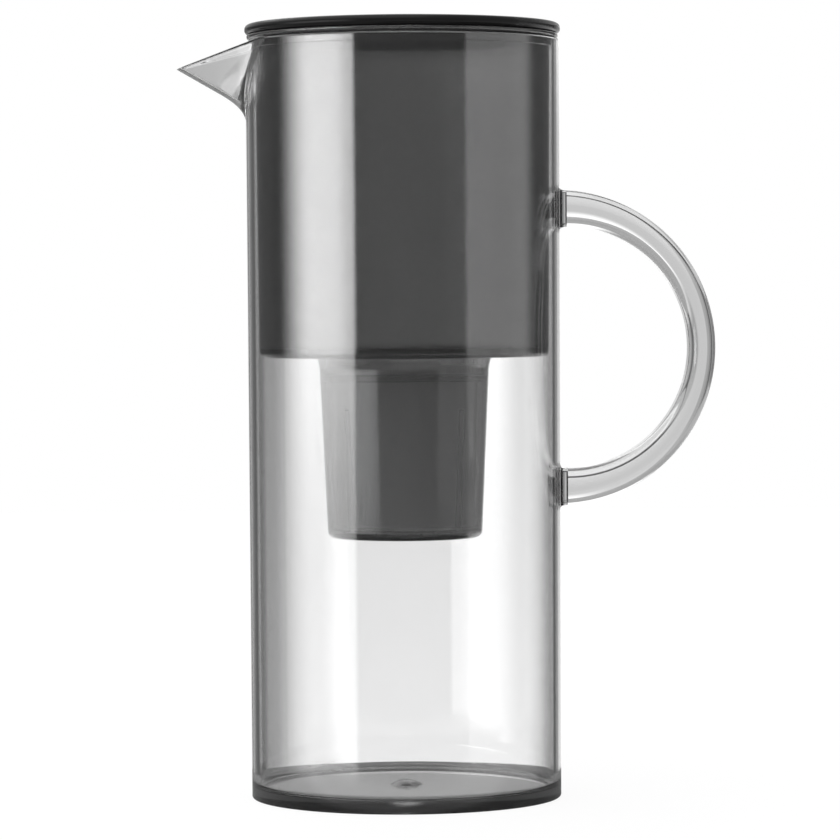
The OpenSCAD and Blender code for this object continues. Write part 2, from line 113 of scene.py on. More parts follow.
# Filter cup
CUP_UNDERSIDE = 94.7
CUP_FLOOR = 97.7
CUP_FLOOR_SPLIT = 20.0
CUP_WALL = 1.8
CUP_EDGE = 2.8
CUP_TAPER = ((97.5, 28.1), (156.5, 30.85))
CUP_NECK_RADIUS = 31.85
CUP_BORE_RADIUS = 29.05
CUP_FLANGE_RADIUS = 35.05
SEAT_RADIUS = 27.22
SEAT_ROOT_RADIUS = 28.84
SEAT_UNDERSIDE = 152.0
SEAT_TOP = 153.8
RIB_TURNS = np.radians((45, 135, 225, 315))
RIB_HEIGHT = 0.9
RIB_TOP = (141.5, 141.95)
RIB_FLANK = (0.88, 1.12)
RIB_ROWS = (98.5, 98.7, 104, 112, 120, 128, 136, 140.7, 141.4, 141.6, 141.8, 142, 142.3, 147)
OUTLET_COUNT = 6
OUTLET_RADIUS = 2.5
OUTLET_CIRCLE = 13
OUTLET_STEPS = 40

# Edges that turn by more than this are shaded as sharp
SHARP_ANGLE = math.radians(35)

# Rows of points this close to a rounded edge keep the shading of the straight walls next to it flat
HOLD = 0.04

# A hair of air keeps two pieces that rest on each other apart, so that light meets one face at a time
AIR = 0.05


# Mesh helpers


def arc(centre, radius, start, end, steps):
    """Points on a circle from one angle to another, in degrees."""
    turns = np.radians(np.linspace(start, end, steps + 1))
    return [(centre[0] + radius * math.cos(t), centre[1] + radius * math.sin(t)) for t in turns]


def rounded(corners, steps=7):
    """A closed outline through (x, y, radius) corners, each rounded and held at both ends."""
    outline = []
    for i, (x, y, radius) in enumerate(corners):
        here = Vector((x, y))
        if radius == 0:
            outline.append((x, y))
            continue
        to_last = (Vector(corners[i - 1][:2]) - here).normalized()
        to_next = (Vector(corners[(i + 1) % len(corners)][:2]) - here).normalized()
        half = to_last.angle(to_next) / 2
        centre = here + (to_last + to_next).normalized() * (radius / math.sin(half))
        reach = radius / math.tan(half)
        first = here + to_last * reach - centre
        last = here + to_next * reach - centre
        sweep = first.angle(last)
        outline.append(tuple(here + to_last * (reach + HOLD)))
        for k in range(steps + 1):
            share = k / steps
            spoke = first * math.sin((1 - share) * sweep) + last * math.sin(share * sweep)
            outline.append(tuple(centre + spoke / math.sin(sweep)))
        outline.append(tuple(here + to_next * (reach + HOLD)))
    return outline


def smooth_max(a, b, width):
    """The larger of two values, with a rounded change from one to the other."""
    share = np.clip(0.5 + 0.5 * (a - b) / width, 0, 1)
    return b + (a - b) * share + width * share * (1 - share)


def smooth_step(low, high, value):
    """Rises from 0 to 1 between two values, level at both ends."""
    share = np.clip((value - low) / (high - low), 0, 1)
    return share * share * (3 - 2 * share)


def even_turn(count):
    """Angles of evenly spaced columns around the axis."""
    return np.linspace(0, 2 * np.pi, count, endpoint=False)


def finish_mesh(name, bm):
    """Closes a bmesh in millimetres as a smooth object in metres."""
    bmesh.ops.remove_doubles(bm, verts=bm.verts, dist=1e-5)
    bmesh.ops.recalc_face_normals(bm, faces=bm.faces)
    bmesh.ops.scale(bm, vec=(MM, MM, MM), verts=bm.verts)
    mesh = bpy.data.meshes.new(name)
    bm.to_mesh(mesh)
    bm.free()
    mesh.shade_smooth()
    mesh.set_sharp_from_angle(angle=SHARP_ANGLE)
    piece = bpy.data.objects.new(name, mesh)
    bpy.context.scene.collection.objects.link(piece)
    return piece


def add_rows(bm, rows, closed=False):
    """Skins rows of points that run around the piece and returns their vertices. One point is a pole."""
    rings = [[bm.verts.new(point) for point in row] for row in rows]
    pairs = list(zip(rings, rings[1:]))
    if closed:
        pairs.append((rings[-1], rings[0]))
    for lower, upper in pairs:
        count = max(len(lower), len(upper))
        for i in range(count):
            j = (i + 1) % count
            if len(lower) == 1:
                bm.faces.new((lower[0], upper[j], upper[i]))
            elif len(upper) == 1:
                bm.faces.new((lower[i], lower[j], upper[0]))
            else:
                bm.faces.new((lower[i], lower[j], upper[j], upper[i]))
    return rings


def turned_rows(profile, angles):
    """Rows of points around the axis for (radius, height) steps, each a number or one value a column."""
    rows = []
    for radius, height in profile:
        if np.ndim(radius) == 0 and radius == 0:
            rows.append([(0.0, 0.0, float(height))])
            continue
        x = radius * np.cos(angles)
        y = radius * np.sin(angles)
        z = np.broadcast_to(height, angles.shape)
        rows.append(list(zip(x.tolist(), y.tolist(), z.tolist())))
    return rows


# Jug


def jug_radius(height):
    """Outside of the jug's wall, which has a slight draft."""
    return BASE_RADIUS + (RIM_RADIUS - BASE_RADIUS) * (height - BASE_EDGE) / (JUG_HEIGHT - BASE_EDGE)


def jug_columns():
    """Column angles around the jug, closer together at the spout and at the handle's bosses."""
    half = [
        np.arange(0, 11.5, 0.3),
        np.arange(11.5, 140, 1.6),
        np.arange(140, 174, 0.7),
        np.arange(174, 180, 0.3),
    ]
    half = np.concatenate(half)
    mirrored = 360 - half[1:][::-1]
    return np.radians(np.concatenate([half, [180.0], mirrored]))


def spout_radius(side, height, nose):
    """Distance from the axis to one face of the spout, a V with a keel of the given nose radius."""
    steep = math.sin(KEEL_SLOPE)
    keel = SPOUT_TIP - (SPOUT_TIP_HEIGHT - height) / math.tan(KEEL_SLOPE)
    middle = keel - KEEL_RADIUS / steep
    apex = middle + nose / (math.sin(SPOUT_HALF_ANGLE) * steep)
    half = math.atan(steep * math.tan(SPOUT_HALF_ANGLE))
    flat = apex * math.sin(half) / np.sin(np.minimum(side + half, math.pi / 2))
    long_axis = nose / steep
    square = (np.cos(side) / long_axis) ** 2 + (np.sin(side) / nose) ** 2
    linear = middle * np.cos(side) / long_axis**2
    rest = (middle / long_axis) ** 2 - 1
    root = np.maximum(linear**2 - square * rest, 0)
    rounded_keel = (linear + np.sqrt(root)) / square
    meets_keel = linear**2 > square * rest
    on_nose = meets_keel & (rounded_keel * np.sin(side) < nose * math.cos(SPOUT_HALF_ANGLE))
    ahead = (np.cos(side) > 0.2) & (keel > 0)
    return np.where(ahead, np.where(on_nose, rounded_keel, flat), 0)


def boss_radius(angles, height):
    """Distance from the axis to the two bosses, rounded rectangles with a fillet at the wall."""
    wall = jug_radius(height)
    facing = np.cos(angles)
    across = np.abs(JOINT_FACE * np.sin(angles)) - HANDLE_WIDTH / 2 + HANDLE_EDGE
    along = np.abs(np.abs(height - HANDLE_MIDDLE) - ROOT_OFFSET) - ROOT_THICKNESS / 2 + HANDLE_EDGE
    outside = np.hypot(np.maximum(across, 0), np.maximum(along, 0))
    outside = outside + np.minimum(np.maximum(across, along), 0) - HANDLE_EDGE
    face = (JOINT_FACE - GLUE_LINE) / np.maximum(facing, 0.9)
    short = np.clip(BOSS_FILLET - outside, 0, BOSS_FILLET)
    fillet = wall + BOSS_FILLET - np.sqrt(BOSS_FILLET**2 - short**2)
    flank = smooth_step(-0.15, 0.15, -outside)
    return np.where(facing > 0.9, fillet + (face - fillet) * flank, 0)


def jug_outside(angles, height):
    """Radius of the jug's outer surface with the spout and the bosses blended into it."""
    wall = jug_radius(height)
    side = np.abs(math.pi - angles)
    blend = KEEL_BLEND + (SIDE_BLEND - KEEL_BLEND) * smooth_step(math.radians(3), math.radians(16), side)
    spouted = smooth_max(wall, spout_radius(side, height, KEEL_RADIUS), blend)
    return np.maximum(spouted, boss_radius(angles, height))


def jug_inside(angles, height):
    """Radius of the jug's inner surface with the spout's channel."""
    side = np.abs(math.pi - angles)
    channel = spout_radius(side, height, KEEL_RADIUS - SPOUT_WALL)
    return smooth_max(jug_radius(height) - JUG_WALL, channel, INSIDE_BLEND)


def lip_height(angles, surface):
    """Height at which a surface of the jug meets the rim, or the lip that slopes to the spout's tip."""
    start = RIM_RADIUS - LIP_INSET
    slope = (JUG_HEIGHT - SPOUT_TIP_HEIGHT) / (SPOUT_TIP - start)
    low = np.full(angles.shape, SPOUT_FOOT)
    high = np.full(angles.shape, JUG_HEIGHT)
    for _ in range(40):
        middle = (low + high) / 2
        reach = -surface(angles, middle) * np.cos(angles)
        above = middle > JUG_HEIGHT - slope * np.maximum(reach - start, 0)
        high = np.where(above, middle, high)
        low = np.where(above, low, middle)
    return high


def cap_sphere(radius, height):
    """Radius of the sphere that a cap of this radius and height is cut from."""
    return (radius**2 + height**2) / (2 * height)


def gate_mark_profile():
    """Underside from the axis: the gate's stub, the dish around it and the flat ring to the base's edge."""
    sphere = cap_sphere(GATE_DISH_RADIUS, GATE_DISH_DEPTH)
    stub = [(0, GATE_STUB_RECESS)]
    stub += arc((GATE_STUB_RADIUS - 0.3, GATE_STUB_RECESS + 0.3), 0.3, -90, 0, 3)
    dish = []
    for radius in np.linspace(GATE_STUB_RADIUS, GATE_DISH_RADIUS, 9):
        dish.append((radius, GATE_DISH_DEPTH - sphere + math.sqrt(sphere**2 - radius**2)))
    edge = [(BASE_RADIUS - BASE_EDGE - HOLD, 0)]
    edge += arc((BASE_RADIUS - BASE_EDGE, BASE_EDGE), BASE_EDGE, -90, 0, 9)
    edge.append((BASE_RADIUS, BASE_EDGE + HOLD))
    return stub + dish + edge


def boss_heights():
    """Heights of the rows on the outside below the spout, close together where the bosses are."""
    reach = ROOT_THICKNESS / 2 + BOSS_FILLET + 0.4
    lower = HANDLE_MIDDLE - ROOT_OFFSET
    upper = HANDLE_MIDDLE + ROOT_OFFSET
    fine = [np.arange(z - reach, z + reach, 0.3) for z in (lower, upper)]
    plain = [np.linspace(12, lower - reach - 2, 6), np.linspace(lower + reach + 2, upper - reach - 2, 6)]
    return np.concatenate([plain[0], fine[0], plain[1], fine[1], [upper + reach + 3, SPOUT_FOOT]])


def make_jug_body():
    """Jug with its floor, spout and bosses as one closed skin."""
    angles = jug_columns()
    outer_lip = lip_height(angles, jug_outside)
    inner_lip = lip_height(angles, jug_inside)
    profile = gate_mark_profile()
    profile += [(jug_outside(angles, z), z) for z in boss_heights()]
    climb = 1 - (1 - np.linspace(0, 1, 33)[1:]) ** 1.4
    for share in climb:
        z = SPOUT_FOOT + (outer_lip - RIM_EDGE - SPOUT_FOOT) * share
        profile.append((jug_outside(angles, z), z))
    for turn in np.radians((30, 60, 90)):
        z = outer_lip - RIM_EDGE * (1 - math.sin(turn))
        profile.append((jug_outside(angles, z) - RIM_EDGE * (1 - math.cos(turn)), z))
    for turn in np.radians((90, 60, 30)):
        z = inner_lip - RIM_EDGE * (1 - math.sin(turn))
        profile.append((jug_inside(angles, z) + RIM_EDGE * (1 - math.cos(turn)), z))
    for share in climb[::-1]:
        z = SPOUT_FOOT + (inner_lip - RIM_EDGE - SPOUT_FOOT) * share
        profile.append((jug_inside(angles, z), z))
    floor_edge = jug_radius(JUG_FLOOR + FLOOR_FILLET) - JUG_WALL
    for z in np.linspace(SPOUT_FOOT, JUG_FLOOR + FLOOR_FILLET + HOLD, 8):
        profile.append((jug_radius(z) - JUG_WALL, z))
    profile += arc((floor_edge - FLOOR_FILLET, JUG_FLOOR + FLOOR_FILLET), FLOOR_FILLET, 0, -90, 9)
    rings = (floor_edge - FLOOR_FILLET - HOLD, *FLOOR_RINGS, GATE_PIP_RADIUS + HOLD)
    profile += [(radius, JUG_FLOOR) for radius in rings]
    pip_top = JUG_FLOOR + GATE_PIP_HEIGHT
    sphere = cap_sphere(GATE_PIP_RADIUS, GATE_PIP_HEIGHT)
    for radius in np.linspace(GATE_PIP_RADIUS, 0, 12):
        profile.append((radius, pip_top - sphere + math.sqrt(sphere**2 - radius**2)))
    bm = bmesh.new()
    add_rows(bm, turned_rows(profile, angles))
    return finish_mesh("jug_shell", bm)


# Handle


def points_between(first, last, count):
    """Evenly spaced points inside a straight run."""
    return [tuple(spot) for spot in np.linspace(first, last, count + 2)[1:-1]]


def handle_section(width, low, high, inner, outer, crown=0.0):
    """Rounded rectangle across the handle as (distance from the loop's middle, y), its faces crowned."""
    half = width / 2
    corners = [(low, -half, inner), (high, -half, outer), (high, half, outer), (low, half, inner)]
    steps = 10
    outline = rounded(corners, steps)
    one = len(outline) // 4
    three = 3 * one
    front = points_between(outline[one - 1], outline[one], steps)
    back = points_between(outline[three - 1], outline[three], steps)
    outline = outline[:one] + front + outline[one:three] + back + outline[three:]
    middle = (low + high) / 2
    drop = crown / half / (high - middle) ** 2
    return [(d, y * (1 - drop * (d - middle) ** 2)) for d, y in outline]


def arc_reach(turn, centre, radius):
    """Distance from the middle of the joint face to one of the handle's arcs."""
    shift = centre - JOINT_FACE
    return shift * math.cos(turn) + math.sqrt(radius**2 - (shift * math.sin(turn)) ** 2)


def make_handle():
    """Loop between two arcs with rounded edges, and a spigot at each end."""
    rows = []
    turns = np.radians(np.linspace(-90, 90, 145))
    for turn in turns:
        section = handle_section(
            HANDLE_WIDTH,
            arc_reach(turn, INNER_ARC_CENTRE, INNER_ARC),
            arc_reach(turn, OUTER_ARC_CENTRE, OUTER_ARC),
            HANDLE_INNER_EDGE,
            HANDLE_OUTER_EDGE,
            HANDLE_CROWN,
        )
        out = math.cos(turn)
        up = math.sin(turn)
        rows.append([(JOINT_FACE + d * out, y, HANDLE_MIDDLE + d * up) for d, y in section])
    for side in (-1, 1):
        rim = []
        low = ROOT_OFFSET - ROOT_THICKNESS / 2
        high = ROOT_OFFSET + ROOT_THICKNESS / 2
        section = handle_section(
            HANDLE_WIDTH - 2 * SPIGOT_SHOULDER,
            low + SPIGOT_SHOULDER,
            high - SPIGOT_SHOULDER,
            SPIGOT_EDGE,
            SPIGOT_EDGE,
        )
        for x in (JOINT_FACE, JOINT_FACE - GLUE_LINE / 2):
            rim.append([(x, y, HANDLE_MIDDLE + side * d) for d, y in section])
        rim.append([(JOINT_FACE - GLUE_LINE / 2, 0.0, HANDLE_MIDDLE + side * ROOT_OFFSET)])
        if side < 0:
            rows = rim[::-1] + rows
        else:
            rows = rows + rim
    bm = bmesh.new()
    add_rows(bm, rows)
    return finish_mesh("handle_loop", bm)


# Hopper and filter cup


def make_hopper():
    """Upper container with its rim flange, locating collar, floor and the rebate that takes the cup."""
    fine = 0.25
    outline = rounded(
        [
            (NECK_HOLE_RADIUS, HOPPER_UNDERSIDE, fine),
            (HOPPER_FOOT_RADIUS, HOPPER_UNDERSIDE, HOPPER_EDGE),
            (HOPPER_TOP_RADIUS, COLLAR_FOOT, fine),
            (COLLAR_RADIUS, COLLAR_FOOT, fine),
            (COLLAR_RADIUS, JUG_HEIGHT + AIR, fine),
            (FLANGE_RADIUS, JUG_HEIGHT + AIR, FLANGE_LOWER_EDGE),
            (FLANGE_RADIUS, FLANGE_TOP - AIR, FLANGE_UPPER_EDGE),
            (HOPPER_MOUTH_RADIUS, FLANGE_TOP - AIR, FLANGE_UPPER_EDGE),
            (HOPPER_MOUTH_RADIUS, JUG_HEIGHT, 0),
            (HOPPER_INNER_FOOT_RADIUS, HOPPER_FLOOR, HOPPER_INNER_EDGE),
            (REBATE_RADIUS, HOPPER_FLOOR, fine),
            (REBATE_RADIUS, REBATE_FLOOR, fine),
            (NECK_HOLE_RADIUS, REBATE_FLOOR, fine),
        ]
    )
    bm = bmesh.new()
    add_rows(bm, turned_rows(outline, even_turn(320)), closed=True)
    return finish_mesh("hopper_shell", bm)


def cup_columns():
    """Column angles around the cup, close together at its ribs."""
    fine = np.concatenate([np.linspace(-3.2, 3.2, 27) + math.degrees(turn) for turn in RIB_TURNS])
    plain = np.arange(0, 360, 2.0)
    clear = np.all(np.abs(plain[:, None] - np.degrees(RIB_TURNS)[None, :]) > 3.6, axis=1)
    return np.radians(np.sort(np.concatenate([fine, plain[clear]])))


def cup_wall_radius(height):
    """Outside of the cup's tapered wall."""
    (low, foot), (high, neck) = CUP_TAPER
    return foot + (neck - foot) * (height - low) / (high - low)


def ribbed_radius(angles, height):
    """Inside of the cup's wall with its four ribs."""
    inside = cup_wall_radius(height) - CUP_WALL
    away = np.min(np.abs(angles[:, None] - RIB_TURNS[None, :]), axis=1) * inside
    rib = smooth_step(-RIB_FLANK[1], -RIB_FLANK[0], -away) * smooth_step(-RIB_TOP[1], -RIB_TOP[0], -height)
    return inside - RIB_HEIGHT * rib


def pierced_floor(bm, lower, upper):
    """Closes the cup's floor between two rings of vertices, with round outlets through it."""
    underside = [lower]
    topside = [upper]
    for turn in even_turn(OUTLET_COUNT):
        x = OUTLET_CIRCLE * math.cos(turn)
        y = OUTLET_CIRCLE * math.sin(turn)
        outlet = arc((x, y), OUTLET_RADIUS, 0, 360, OUTLET_STEPS)[:-1]
        rows = [[(*spot, ring[0].co.z) for spot in outlet] for ring in (lower, upper)]
        rings = add_rows(bm, rows)
        underside.append(rings[0])
        topside.append(rings[1])
    for rings in (underside, topside):
        edges = []
        for ring in rings:
            for a, b in zip(ring, ring[1:] + ring[:1]):
                edges.append(bm.edges.get((a, b)) or bm.edges.new((a, b)))
        bmesh.ops.triangle_fill(bm, use_beauty=True, edges=edges)


def make_filter_cup():
    """Tapered cup with a flange, a seat for the cartridge, ribs inside and outlets in its floor."""
    angles = cup_columns()
    profile = [(CUP_FLOOR_SPLIT, CUP_FLOOR)]
    foot = cup_wall_radius(CUP_FLOOR) - CUP_WALL
    profile += arc((foot - 1.4, CUP_FLOOR + 0.5), 0.5, -90, -20, 3)
    for z in RIB_ROWS:
        profile.append((ribbed_radius(angles, z), z))
    seat = rounded(
        [
            (SEAT_ROOT_RADIUS, SEAT_UNDERSIDE, 0.2),
            (SEAT_RADIUS, SEAT_UNDERSIDE, 0.2),
            (SEAT_RADIUS, SEAT_TOP - AIR, 0.2),
            (CUP_BORE_RADIUS, SEAT_TOP - AIR, 0.2),
            (CUP_BORE_RADIUS, HOPPER_FLOOR - AIR, 0.3),
            (CUP_FLANGE_RADIUS, HOPPER_FLOOR - AIR, 0.3),
            (CUP_FLANGE_RADIUS, REBATE_FLOOR + AIR, 0.3),
            (CUP_NECK_RADIUS, REBATE_FLOOR + AIR, 0.2),
            (CUP_NECK_RADIUS, HOPPER_UNDERSIDE, 1.5),
            (CUP_TAPER[1][1], CUP_TAPER[1][0], 2.5),
            (CUP_TAPER[0][1], CUP_UNDERSIDE, CUP_EDGE),
            (CUP_FLOOR_SPLIT, CUP_UNDERSIDE, 0),
            (CUP_FLOOR_SPLIT, CUP_FLOOR, 0),
            (foot, CUP_FLOOR, 0),
        ]
    )
    profile += seat[:-2]
    bm = bmesh.new()
    rings = add_rows(bm, turned_rows(profile, angles))
    pierced_floor(bm, rings[-1], rings[0])
    return finish_mesh("filter_cup_shell", bm)


# Finishes


class Value:
    """A node's output. Sums, differences and products of values add Math nodes."""

    def __init__(self, finish, socket):
        self.finish = finish
        self.socket = socket

    def _math(self, operation, first, second):
        return self.finish.node("ShaderNodeMath", {"operation": operation}, {0: first, 1: second})

    def __add__(self, other):
        return self._math("ADD", self, other)

    __radd__ = __add__

    def __sub__(self, other):
        return self._math("SUBTRACT", self, other)

    def __rsub__(self, other):
        return self._math("SUBTRACT", other, self)

    def __mul__(self, other):
        return self._math("MULTIPLY", self, other)

    __rmul__ = __mul__


class Finish:
    """The nodes of one material or of the world."""

    def __init__(self, owner):
        owner.use_nodes = True
        self.owner = owner
        self.tree = owner.node_tree
        self.tree.nodes.clear()

    def node(self, kind, settings=None, sockets=None, output=0):
        """Adds a node, sets its settings and then its sockets, and returns one of its outputs."""
        made = self.tree.nodes.new(kind)
        for key, setting in (settings or {}).items():
            setattr(made, key, setting)
        for key, given in (sockets or {}).items():
            if isinstance(given, Value):
                self.tree.links.new(given.socket, made.inputs[key])
            else:
                made.inputs[key].default_value = given
        return Value(self, made.outputs[output])

    def place(self, stretch=(1, 1, 1)):
        """Position on the piece in metres, stretched along its axes."""
        spot = self.node("ShaderNodeTexCoord", output="Object")
        return self.node("ShaderNodeMapping", {}, {"Vector": spot, "Scale": stretch})

    def axes(self, spot):
        """The x, y and z of a position."""
        split = self.node("ShaderNodeSeparateXYZ", {}, {"Vector": spot}).socket.node
        return [Value(self, socket) for socket in split.outputs]

    def length(self, spot):
        """Distance of a position from the piece's origin."""
        return self.node("ShaderNodeVectorMath", {"operation": "LENGTH"}, {0: spot}, "Value")

    def size(self, value):
        """A value without its sign."""
        return self.node("ShaderNodeMath", {"operation": "ABSOLUTE"}, {0: value})

    def noise(self, spot, scale, detail=2.0, roughness=0.5):
        """Soft random pattern from 0 to 1."""
        sockets = {"Vector": spot, "Scale": scale, "Detail": detail, "Roughness": roughness}
        return self.node("ShaderNodeTexNoise", {}, sockets)

    def spread(self, value, low, high, start=0.0, end=1.0):
        """Carries a value's range from low to high over to start to end, with soft ends."""
        settings = {"interpolation_type": "SMOOTHSTEP"}
        sockets = {"Value": value, "From Min": low, "From Max": high, "To Min": start, "To Max": end}
        return self.node("ShaderNodeMapRange", settings, sockets)

    def tint(self, share, first, second):
        """Colour between two others."""
        sockets = {"Factor": share, "A": (*first, 1), "B": (*second, 1)}
        return self.node("ShaderNodeMix", {"data_type": "RGBA"}, sockets, 2)

    def scaled(self, colour, share):
        """A colour made darker or lighter."""
        return self.node("ShaderNodeVectorMath", {"operation": "SCALE"}, {0: colour, "Scale": share})

    def matt(self, level):
        """Plain matt grey."""
        grey = self.node("ShaderNodeCombineColor", {}, {"Red": level, "Green": level, "Blue": level})
        return self.node("ShaderNodeBsdfDiffuse", {}, {"Color": grey})

    def blend(self, share, first, second):
        """Shader between two others."""
        return self.node("ShaderNodeMixShader", {}, {0: share, 1: first, 2: second})

    def bump(self, height, depth, strength):
        """Normal of a surface raised by a pattern, its depth in millimetres."""
        sockets = {"Height": height, "Distance": depth * MM, "Strength": strength}
        return self.node("ShaderNodeBump", {}, sockets)

    def close(self, kind, ends):
        """Adds the output node and links the shaders to it."""
        output = self.tree.nodes.new(kind)
        for key, given in ends.items():
            self.tree.links.new(given.socket, output.inputs[key])
        return self.owner

    def surface(self, sockets, absorption=None, painted_light_share=None):
        """Ends the material in a Principled shader, with plain absorption inside where it is clear and,
        where asked, a pale matt layer of painted light.
        """
        shader = self.node("ShaderNodeBsdfPrincipled", {}, sockets)
        # Painted light: a pale matt layer blended over the shader where asked.
        if painted_light_share:
            painted_light_matt = self.node("ShaderNodeBsdfDiffuse", {}, {"Color": (0.8, 0.8, 0.8, 1)})
            shader = self.blend(painted_light_share, shader, painted_light_matt)
        ends = {"Surface": shader}
        if absorption:
            colour, density = absorption
            sockets = {"Color": (*colour, 1), "Density": density}
            ends["Volume"] = self.node("ShaderNodeVolumeAbsorption", {}, sockets)
        return self.close("ShaderNodeOutputMaterial", ends)


def new_finish(name):
    """Starts a material."""
    return Finish(bpy.data.materials.new(name))


def clear_smoke():
    """Clear moulded plastic with a faint grey tint, slight flow ripples and a few fine rub marks, with
    painted shade on the spout, the gate's dish and the pip, and painted light in a pale matt band along the
    spout's keel.
    """
    f = new_finish("clear_smoke")
    flow = f.noise(f.place((1, 1, 0.25)), 22, 1)
    rubs = f.noise(f.place((1, 1, 0.06)), 900, 2)
    haze = f.spread(rubs, 0.62, 0.8)
    spot = f.place()
    across = f.length(f.place((1, 1, 0)))
    x, _, height = f.axes(spot)
    # Painted shade: the spout's colour is made darker than the jug's wall.
    clear_of_wall = -58 * MM
    spout = 1 - f.spread(x, clear_of_wall - 0.0015, clear_of_wall)
    keel_line = SPOUT_TIP_HEIGHT * MM - (x + SPOUT_TIP * MM) * math.tan(KEEL_SLOPE)
    keel = spout * f.spread(height - keel_line, 0.0008, 0.0024, 1, 0)
    # Painted shade: the gate's dish is tinted near black and the pip on the floor is darkened, where the
    # base shows a dark mark.
    dish = GATE_DISH_RADIUS * MM
    dish_top = GATE_DISH_DEPTH * MM
    gate = 1 - f.spread(across, dish - 0.0004, dish + 0.0002)
    gate = gate * (1 - f.spread(height, dish_top + 0.0005, dish_top + 0.0011))
    pip_edge = GATE_PIP_RADIUS * MM
    floor_top = JUG_FLOOR * MM
    pip = 1 - f.spread(across, pip_edge - 0.0003, pip_edge + 0.0003)
    pip = pip * f.spread(height, floor_top - 0.0001, floor_top + 0.0002)
    shade = (f.noise(spot, 35, 2) * 0.02 + 0.96) * (1 - spout * 0.08) * (1 - pip * 0.55)
    colour = f.tint(gate, (0.975, 0.975, 0.976), (0.1, 0.1, 0.1))
    colour = f.scaled(colour, shade)
    return f.surface(
        {
            "Base Color": colour,
            "Roughness": 0.004 + 0.02 * haze,
            "IOR": 1.57,
            "Transmission Weight": 1.0,
            "Normal": f.bump(flow, 0.02, 0.12),
        },
        ((0.5, 0.5, 0.5), 56.0),
        # Painted light: a pale matt share along the spout's keel, uneven with the rub marks, where the keel
        # shows a grey band.
        keel * (0.3 + 0.12 * rubs),
    )


def dark_smoke():
    """Dark grey see-through plastic with a fine satin grain, and painted shade that darkens the floor's
    band away from the middle, where the floor is seen edge on.
    """
    f = new_finish("dark_smoke")
    grain = f.noise(f.place(), 2600, 2, 0.6)
    clouds = f.noise(f.place(), 60, 2)
    x, _, height = f.axes(f.place())
    floor_top = HOPPER_FLOOR * MM
    # Painted shade: the band at the floor's top is darkened towards the sides.
    painted_edge_shade = 1 - f.spread(height, floor_top - 0.0003, floor_top + 0.0005)
    painted_edge_shade = painted_edge_shade * f.spread(f.size(x), 0.024, 0.034)
    colour = f.tint(clouds, (0.97, 0.97, 0.97), (0.93, 0.93, 0.93))
    shade = (0.9 + 0.2 * f.noise(f.place(), 1500, 2, 0.6)) * (1 - 0.65 * painted_edge_shade)
    colour = f.scaled(colour, shade)
    return f.surface(
        {
            "Base Color": colour,
            "Roughness": 0.05 + 0.05 * grain,
            "IOR": 1.57,
            "Transmission Weight": 0.96,
            "Normal": f.bump(grain, 0.02, 0.15),
        },
        ((0.5, 0.5, 0.5), 1050.0),
    )


def cup_smoke():
    """The cup's dark smoke, a little milkier than the hopper, with its grain showing and painted shade that
    darkens its foot.
    """
    f = new_finish("cup_smoke")
    grain = f.noise(f.place(), 1500, 3, 0.6)
    _, _, height = f.axes(f.place())
    floor_top = CUP_FLOOR * MM
    # Painted shade: the colour is darkened below the floor's top.
    foot = f.spread(height, floor_top - 0.0009, floor_top + 0.0001, 0.2, 1)
    colour = f.tint(grain, (0.8, 0.8, 0.8), (1, 1, 1))
    colour = f.scaled(colour, foot)
    return f.surface(
        {
            "Base Color": colour,
            "Roughness": 0.06 + 0.06 * grain,
            "IOR": 1.57,
            "Transmission Weight": 0.86,
            "Normal": f.bump(grain, 0.02, 0.15),
        },
        ((0.5, 0.5, 0.5), 850.0),
    )


def black_plastic():
    """Black lid with a soft satin skin."""
    f = new_finish("black_plastic")
    grain = f.noise(f.place(), 2400, 3, 0.6)
    wear = f.noise(f.place(), 45, 3)
    colour = f.tint(wear, (0.006, 0.006, 0.006), (0.01, 0.01, 0.0103))
    return f.surface(
        {
            "Base Color": colour,
            "Roughness": 0.14 + 0.08 * wear + 0.05 * grain,
            "IOR": 1.5,
            "Specular IOR Level": 0.12,
            "Normal": f.bump(grain, 0.015, 0.4),
        }
    )


def seal_rubber():
    """Soft grey rubber with a dusty skin."""
    f = new_finish("seal_rubber")
    dust = f.noise(f.place(), 400, 4)
    return f.surface(
        {
            "Base Color": f.tint(dust, (0.06, 0.06, 0.062), (0.11, 0.11, 0.112)),
            "Roughness": 0.55 + 0.25 * dust,
            "IOR": 1.5,
            "Normal": f.bump(dust, 0.03, 0.5),
        }
    )


def cartridge_plastic():
    """Pale grey moulded plastic of the cartridge."""
    f = new_finish("cartridge_plastic")
    grain = f.noise(f.place(), 1800, 3)
    cloud = f.noise(f.place((1, 1, 0.4)), 60, 3)
    return f.surface(
        {
            "Base Color": f.tint(cloud, (0.66, 0.66, 0.65), (0.74, 0.74, 0.735)),
            "Roughness": 0.34 + 0.14 * grain,
            "IOR": 1.49,
            "Normal": f.bump(grain, 0.02, 0.4),
        }
    )


def screen_fleece():
    """White non-woven discs: a mat of short crossing fibres."""
    f = new_finish("screen_fleece")
    one_way = f.noise(f.place((1, 0.12, 1)), 2600, 2)
    other_way = f.noise(f.place((0.12, 1, 1)), 2600, 2)
    mat = one_way * 0.5 + other_way * 0.5
    return f.surface(
        {
            "Base Color": f.tint(f.spread(mat, 0.35, 0.65), (0.62, 0.62, 0.6), (0.86, 0.86, 0.84)),
            "Roughness": 0.85 + 0.1 * mat,
            "IOR": 1.45,
            "Normal": f.bump(mat, 0.08, 0.7),
        }
    )


